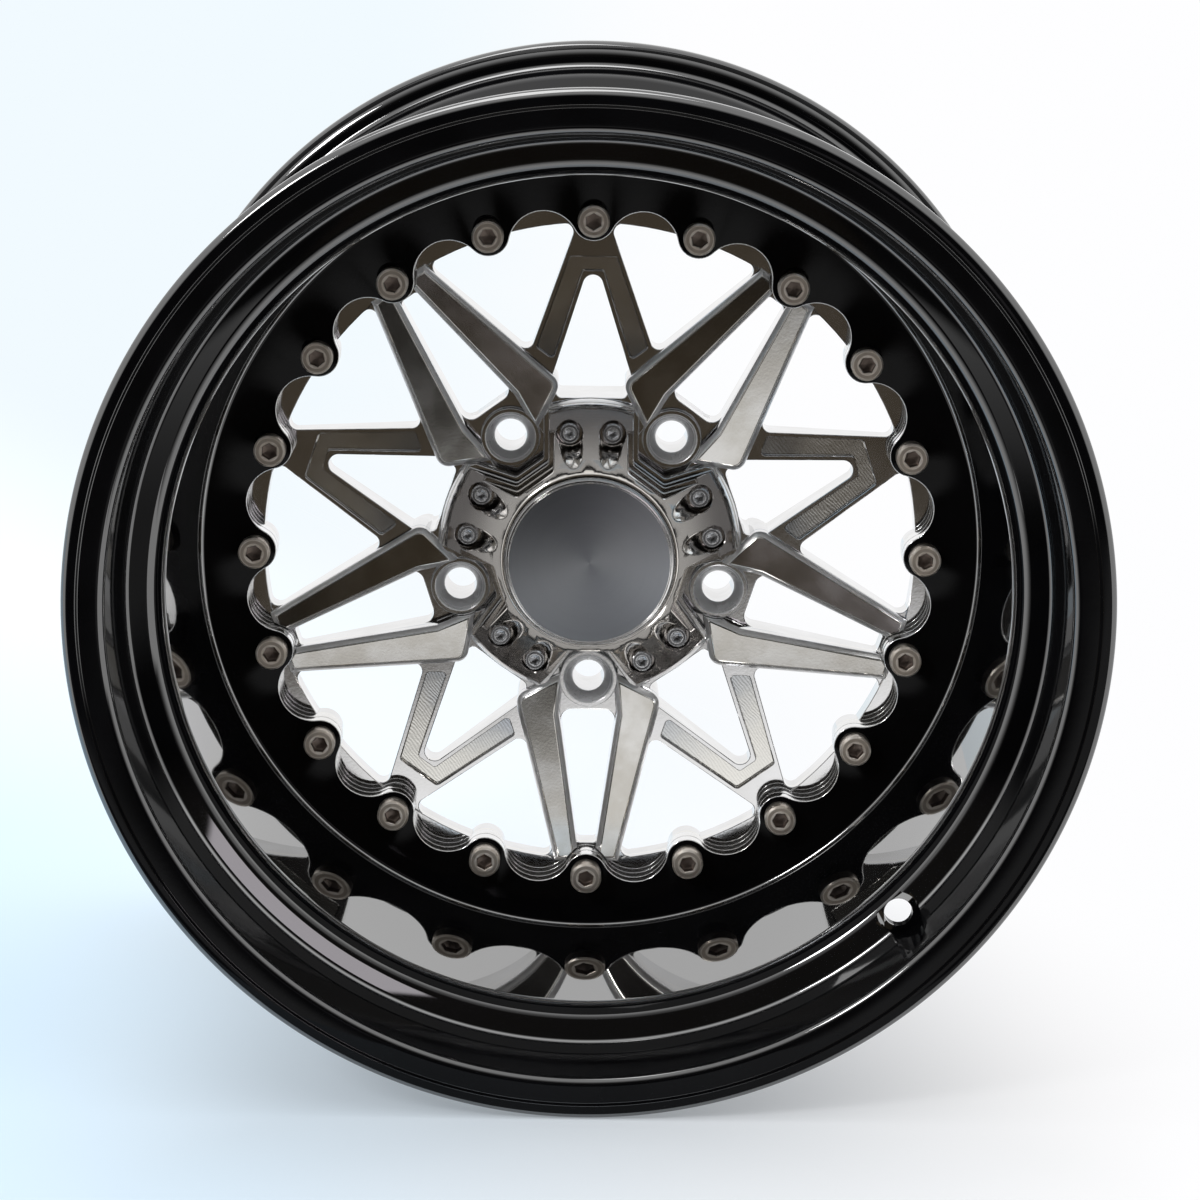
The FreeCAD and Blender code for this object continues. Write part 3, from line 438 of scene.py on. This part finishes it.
def screw_mesh(head, height, key, depth, name):
    """Socket screw head standing on the plane at zero, facing forward."""
    bm = bmesh.new()
    facing = Matrix.Rotation(math.pi / 2, 4, "X")
    hexagon = bmesh.ops.create_circle(bm, segments=6, radius=key / math.sqrt(3), matrix=facing)["verts"]
    bmesh.ops.translate(bm, verts=hexagon, vec=(0, -height, 0))
    sides = list({edge for vert in hexagon for edge in vert.link_edges})
    bmesh.ops.subdivide_edges(bm, edges=sides, cuts=7)
    mouth = bm.edges[:]
    rim = bmesh.ops.create_circle(bm, segments=48, radius=head / 2, matrix=facing)["verts"]
    bmesh.ops.translate(bm, verts=rim, vec=(0, -height, 0))
    ring = list({edge for vert in rim for edge in vert.link_edges})
    bmesh.ops.bridge_loops(bm, edges=mouth + ring)
    skirt = bmesh.ops.extrude_edge_only(bm, edges=ring)
    bmesh.ops.translate(bm, verts=points_in(skirt), vec=(0, height, 0))
    wall = bmesh.ops.extrude_edge_only(bm, edges=mouth)
    bmesh.ops.translate(bm, verts=points_in(wall), vec=(0, depth, 0))
    foot = [item for item in wall["geom"] if isinstance(item, bmesh.types.BMEdge)]
    tip = points_in(bmesh.ops.extrude_edge_only(bm, edges=foot))
    bmesh.ops.scale(bm, verts=tip, vec=(0.02, 1, 0.02))
    bmesh.ops.translate(bm, verts=tip, vec=(0, key * 0.22, 0))
    bmesh.ops.remove_doubles(bm, verts=tip, dist=key * 0.05)
    bmesh.ops.recalc_face_normals(bm, faces=bm.faces)
    bm.normal_update()
    sharp = [edge for edge in bm.edges if len(edge.link_faces) == 2 and edge.calc_face_angle(0) > 1.0]
    outer = [edge for edge in sharp if edge.verts[0].co.xz.length > head * 0.45]
    level = [edge for edge in sharp if abs(edge.verts[0].co.y - edge.verts[1].co.y) < 1e-6]
    inner = [edge for edge in level if edge not in outer]
    bmesh.ops.bevel(
        bm, geom=outer, offset=head * 0.055, segments=1, profile=0.5, affect="EDGES", material=-1,
    )
    inner = [edge for edge in inner if edge.is_valid and edge.verts[0].co.y < -height * 0.9]
    bmesh.ops.bevel(
        bm, geom=inner, offset=head * 0.02, segments=1, profile=0.5, affect="EDGES", material=-1,
    )
    inside = bm.faces.layers.float.new("inside")
    away = bm.verts.layers.float.new("away")
    for vert in bm.verts:
        vert[away] = vert.co.xz.length / (head / 2)
    for face in bm.faces:
        middle = face.calc_center_median()
        face[inside] = 1.0 if middle.xz.length < key * 0.6 and middle.y > -height * 0.95 else 0.0
    return smooth_mesh(bm, name, 35)


def screw_set(one, places, name):
    """Copies of one screw at (x, forward, z, turn) places, as one mesh."""
    bm = bmesh.new()
    for x, forward, z, turn in places:
        before = len(bm.verts)
        bm.from_mesh(one)
        bm.verts.ensure_lookup_table()
        copies = bm.verts[before:]
        spot = Matrix.Translation((x, -forward, z)) @ Matrix.Rotation(turn, 4, "Y")
        bmesh.ops.transform(bm, matrix=spot, verts=copies)
    return smooth_mesh(bm, name, 35)


def make_steel_finish(name, low, high, rough, painted_reflection_ring, socket):
    """Bright steel with a light stain and fine scratches, a dark ring painted on the top as a reflection,
    and the key socket painted darker as shade.
    """
    material, shader, place, axes = new_finish(name)
    stain = place.node("TexNoise", {"Vector": place, "Scale": 260.0, "Detail": 4.0})
    scratch = place.node("TexNoise", {"Vector": place, "Scale": 2400.0, "Detail": 2.0})
    inside = place.node("Attribute", output=2, attribute_name="inside")
    away = place.node("Attribute", output=2, attribute_name="away")
    # Painted reflection: a dark ring across the top face of the head.
    ring = away.step(0.62, 0.68) * (1.0 - away.step(0.82, 0.88)) * (0.35 + stain * 0.8)
    top = ring.blend(stain.step(0.35, 0.7).blend(low, high), painted_reflection_ring)
    # Painted shade: the key socket is coloured darker than the head's top.
    colour = inside.blend(top, socket)
    bump = place.node("Bump", {"Height": scratch, "Strength": 0.1, "Distance": 0.0002})
    finish = rough + stain * 0.1 + inside * 0.05
    connect(shader, Base_Color=colour, Roughness=finish, Metallic=1.0, Normal=bump)
    return material


rim_places = []
rim_seat = 0.0446
for number in range(bolt_count):
    turn = 2 * math.pi * number / bolt_count
    rim_places.append((bolt_radius * math.sin(turn), rim_seat, bolt_radius * math.cos(turn), number * 1.9))
rim_screw = screw_mesh(head=0.013, height=0.008, key=0.006, depth=0.0040, name="rim_screw")
# Colours of the heads: the band is a painted reflection ring, and the socket tone is painted shade.
steel = make_steel_finish(
    "stainless_steel", (0.74, 0.66, 0.57, 1), (0.94, 0.87, 0.79, 1), 0.3,
    painted_reflection_ring=(0.32, 0.27, 0.22, 1), socket=(0.26, 0.21, 0.18, 1),
)
rim_heads = screw_set(rim_screw, rim_places, "rim_screw_heads")
add_piece("rim_screw_heads", rim_heads, steel, "screw_steel", "rim_screws")


# Hub screws: small bright plated socket-head screws, two on each sloping pad of the hub, each
# in a spot-faced seat with a relief that runs up towards the cap.
hub_places = []
hub_circle = 0.0512
hub_aside = 0.0089
hub_seat = 0.0395
for number in range(5):
    for side in (-1, 1):
        turn = 2 * math.pi * number / 5 + side * math.asin(hub_aside / hub_circle)
        across = hub_circle * math.sin(turn)
        hub_places.append((across, hub_seat, hub_circle * math.cos(turn), number * 1.3 + side))
hub_screw = screw_mesh(head=0.0085, height=0.0044, key=0.004, depth=0.0022, name="hub_screw")
# Colours of the heads: the band is a painted reflection ring, and the socket tone is painted shade.
plating = make_steel_finish(
    "dark_plating", (0.60, 0.61, 0.63, 1), (0.82, 0.83, 0.85, 1), 0.16,
    painted_reflection_ring=(0.04, 0.04, 0.045, 1), socket=(0.55, 0.56, 0.58, 1),
)
hub_heads = screw_set(hub_screw, hub_places, "hub_screw_heads")
add_piece("hub_screw_heads", hub_heads, plating, "dark_chrome", "hub_screws")


# Centre cap: turned from aluminium bar, with a bevelled rim, a fine face groove and concentric
# lathe marks. Its skirt and rubber ring plug the front of the hub.
def make_turned_finish():
    """Turned aluminium: fine concentric lathe marks that stretch the reflections, and a sheen painted into
    the colour by the angle round the axis.
    """
    face_radius = 0.0329
    material, shader, place, (x, y, z) = new_finish("turned_aluminium")
    radius = (x * x + z * z).math("SQRT")
    fine = {"W": radius * 9000.0, "Scale": 1.0, "Detail": 1.0}
    broad = {"W": radius * 240.0, "Scale": 1.0, "Detail": 3.0}
    rings = place.node("TexNoise", fine, noise_dimensions="1D")
    bands = place.node("TexNoise", broad, noise_dimensions="1D")
    edge = radius.step(face_radius, face_radius + 0.0002)
    # Painted highlight: a bow-tie sheen in the colour, set by the angle round the axis, standing for a
    # turned face's reflection.
    painted_sheen = (x.math("ARCTAN2", z) * 2.0 + 3.84).math("COSINE") * 0.5 + 0.35 + bands * 0.3
    face = painted_sheen.blend((0.31, 0.325, 0.355, 1), (0.43, 0.445, 0.475, 1))
    colour = edge.blend(face, (0.82, 0.81, 0.80, 1))
    bump = place.node("Bump", {"Height": rings * (1.0 - edge), "Strength": 0.05, "Distance": 0.0001})
    rough = 0.28 + bands * 0.05 - edge * 0.18
    connect(shader, Base_Color=colour, Roughness=rough, Metallic=1.0, Normal=bump)
    return material


cap_bm = bmesh.new()
cap_section = [
    (0.0, 0.0630), (0.03325, 0.0630), (0.0336, 0.0624), (0.03425, 0.0624), (0.03525, 0.0614),
    (0.03525, 0.0570), (0.0331, 0.0570), (0.0331, 0.0445), (0.0323, 0.0430), (0.0282, 0.0430),
    (0.0282, 0.0570), (0.0, 0.0570),
]
cap_points = [cap_bm.verts.new((0, -forward, radius)) for radius, forward in cap_section]
for first, second in zip(cap_points, cap_points[1:]):
    cap_bm.edges.new((first, second))
for point in cap_points[1:6]:
    bmesh.ops.bevel(
        cap_bm, geom=[point], offset=0.00012, offset_type="OFFSET", segments=3, profile=0.5,
        affect="VERTICES", material=-1,
    )
bmesh.ops.spin(
    cap_bm, geom=cap_bm.verts[:] + cap_bm.edges[:], cent=(0, 0, 0), axis=(0, 1, 0),
    angle=2 * math.pi, steps=192, use_merge=True,
)
bmesh.ops.remove_doubles(cap_bm, verts=cap_bm.verts, dist=1e-6)
bmesh.ops.recalc_face_normals(cap_bm, faces=cap_bm.faces)
cap_mesh = smooth_mesh(cap_bm, "turned_cap", 20)
add_piece("turned_cap", cap_mesh, make_turned_finish(), "turned_aluminium", "centre_cap")


# Studio: a pale floor under the wheel that fades into a white surround, soft lamps above, and
# the camera a little over the wheel's top, looking down at its face.
floor_bm = bmesh.new()
floor_level = -0.2011
floor_reach = 4.0
bmesh.ops.create_grid(
    floor_bm, x_segments=1, y_segments=1, size=floor_reach,
    matrix=Matrix.Translation((0, 0, floor_level)),
)
floor_mesh = bpy.data.meshes.new("floor")
floor_bm.to_mesh(floor_mesh)
floor_bm.free()
floor = bpy.data.objects.new("floor", floor_mesh)
bpy.context.collection.objects.link(floor)
floor_material, floor_shader, floor_place, (floor_x, floor_y, floor_z) = new_finish("pale_floor")
sweep = floor_place.node("TexNoise", {"Vector": floor_place, "Scale": 3.0, "Detail": 2.0})
side = (floor_x * 1.6 + sweep * 0.2).step(-0.5, 0.45)
depth = floor_y.step(-0.1, 0.9)
cool = depth.blend((0.62, 0.81, 0.97, 1), (0.88, 0.955, 1.0, 1))
floor_colour = side.blend(cool, (0.99, 0.99, 1.0, 1))
connect(floor_shader, Base_Color=floor_colour, Roughness=0.6 + sweep * 0.1)
floor_tree = floor_material.node_tree
to_eye = floor_place.node("LightPath")
to_metal = floor_place.node("LightPath", output=3)
far = (floor_y + floor_x * 2.0).step(-0.1, 0.6)
far_white = to_eye.math("MAXIMUM", to_metal) * (0.3 + far * 0.7)
glow = floor_place.node("Emission", {"Color": floor_colour, "Strength": 1.0})
plain = Value(floor_tree, floor_shader.outputs[0])
surface = floor_place.node("MixShader", {0: far_white, 1: plain, 2: glow})
floor_front = -0.3
front = (1.0 - floor_y.step(floor_front - 0.0005, floor_front + 0.0005)) * (1.0 - to_eye)
clear = floor_place.node("BsdfTransparent")
surface = floor_place.node("MixShader", {0: front, 1: surface, 2: clear})
floor_tree.links.new(surface.socket, floor_tree.nodes["Material Output"].inputs[0])
floor_mesh.materials.append(floor_material)

world = bpy.data.worlds.new("studio")
world.use_nodes = True
bpy.context.scene.world = world
sky = Value(world.node_tree)
way = sky.node("TexCoord", output=0)
across, back, upward = [sky.node("SeparateXYZ", {0: way}, axis) for axis in range(3)]
seen = sky.node("LightPath")
below = (1.0 - (upward - across * 0.2).step(-0.272, -0.222)) * upward.step(-0.374, -0.350)
white = below.math("MAXIMUM", back.step(-0.9, -0.5))
deep = across.math("ABSOLUTE").step(0.105, 0.13).math("MAXIMUM", upward.step(-0.08, -0.055))
dark = deep.blend((0.052, 0.042, 0.03, 1), (0.012, 0.011, 0.01, 1))
room = white.blend(dark, (1.0, 1.0, 1.0, 1))
along = (across - 0.143) * 0.667 - (upward + 0.054) * 0.745
beside = (across - 0.156) * 0.745 + (upward + 0.068) * 0.667
panel = 1.0 - along.math("ABSOLUTE").step(0.062, 0.069)
panel = panel * (1.0 - beside.math("ABSOLUTE").step(0.034, 0.042))
panel = panel * (1.0 - back.step(-0.9, -0.5))
room = panel.blend(room, (1.0, 0.94, 1.0, 1))
wall = (across * 8.7 + 0.1).step(-0.5, 0.45).blend((0.88, 0.955, 1.0, 1), (0.99, 0.99, 1.0, 1))
shown = seen.blend(room, wall)
world_ground = world.node_tree.nodes["Background"]
world.node_tree.links.new(shown.socket, world_ground.inputs["Color"])
world_ground.inputs["Strength"].default_value = 1.0


def add_lamp(name, place, target, size, power):
    """Square soft lamp at a place, turned to a target."""
    lamp = bpy.data.lights.new(name, "AREA")
    lamp.size = size
    lamp.energy = power
    holder = bpy.data.objects.new(name, lamp)
    bpy.context.collection.objects.link(holder)
    holder.location = place
    holder.rotation_euler = (Vector(target) - Vector(place)).to_track_quat("-Z", "Y").to_euler()


add_lamp("top_lamp", (-0.3, 0.3, 1.9), (0, 0, 0), 1.2, 16.0)
add_lamp("front_lamp", (-1.5, -1.6, 1.5), (0, 0, 0), 0.5, 14.0)

turn_azimuth = math.radians(0.160)
turn_down = math.radians(13.016)
turn_roll = math.radians(0.735)
look = Vector((
    math.sin(turn_azimuth) * math.cos(turn_down),
    math.cos(turn_azimuth) * math.cos(turn_down),
    -math.sin(turn_down),
))
level = look.cross(Vector((0, 0, 1))).normalized()
upright = level.cross(look)
right = math.cos(turn_roll) * level + math.sin(turn_roll) * upright
above = math.cos(turn_roll) * upright - math.sin(turn_roll) * level
aim = Vector((0.004474, -0.053, -0.017736))
distance = 1.39194
eye = aim - distance * look
focal_pixels = 3359.8
frame_pixels = 1200
lens = bpy.data.cameras.new("camera")
lens.sensor_width = 36.0
lens.lens = focal_pixels * lens.sensor_width / frame_pixels
camera = bpy.data.objects.new("camera", lens)
bpy.context.collection.objects.link(camera)
camera.matrix_world = Matrix((
    (right.x, above.x, -look.x, eye.x),
    (right.y, above.y, -look.y, eye.y),
    (right.z, above.z, -look.z, eye.z),
    (0, 0, 0, 1),
))
bpy.context.scene.camera = camera
bpy.context.scene.view_settings.view_transform = "Standard"
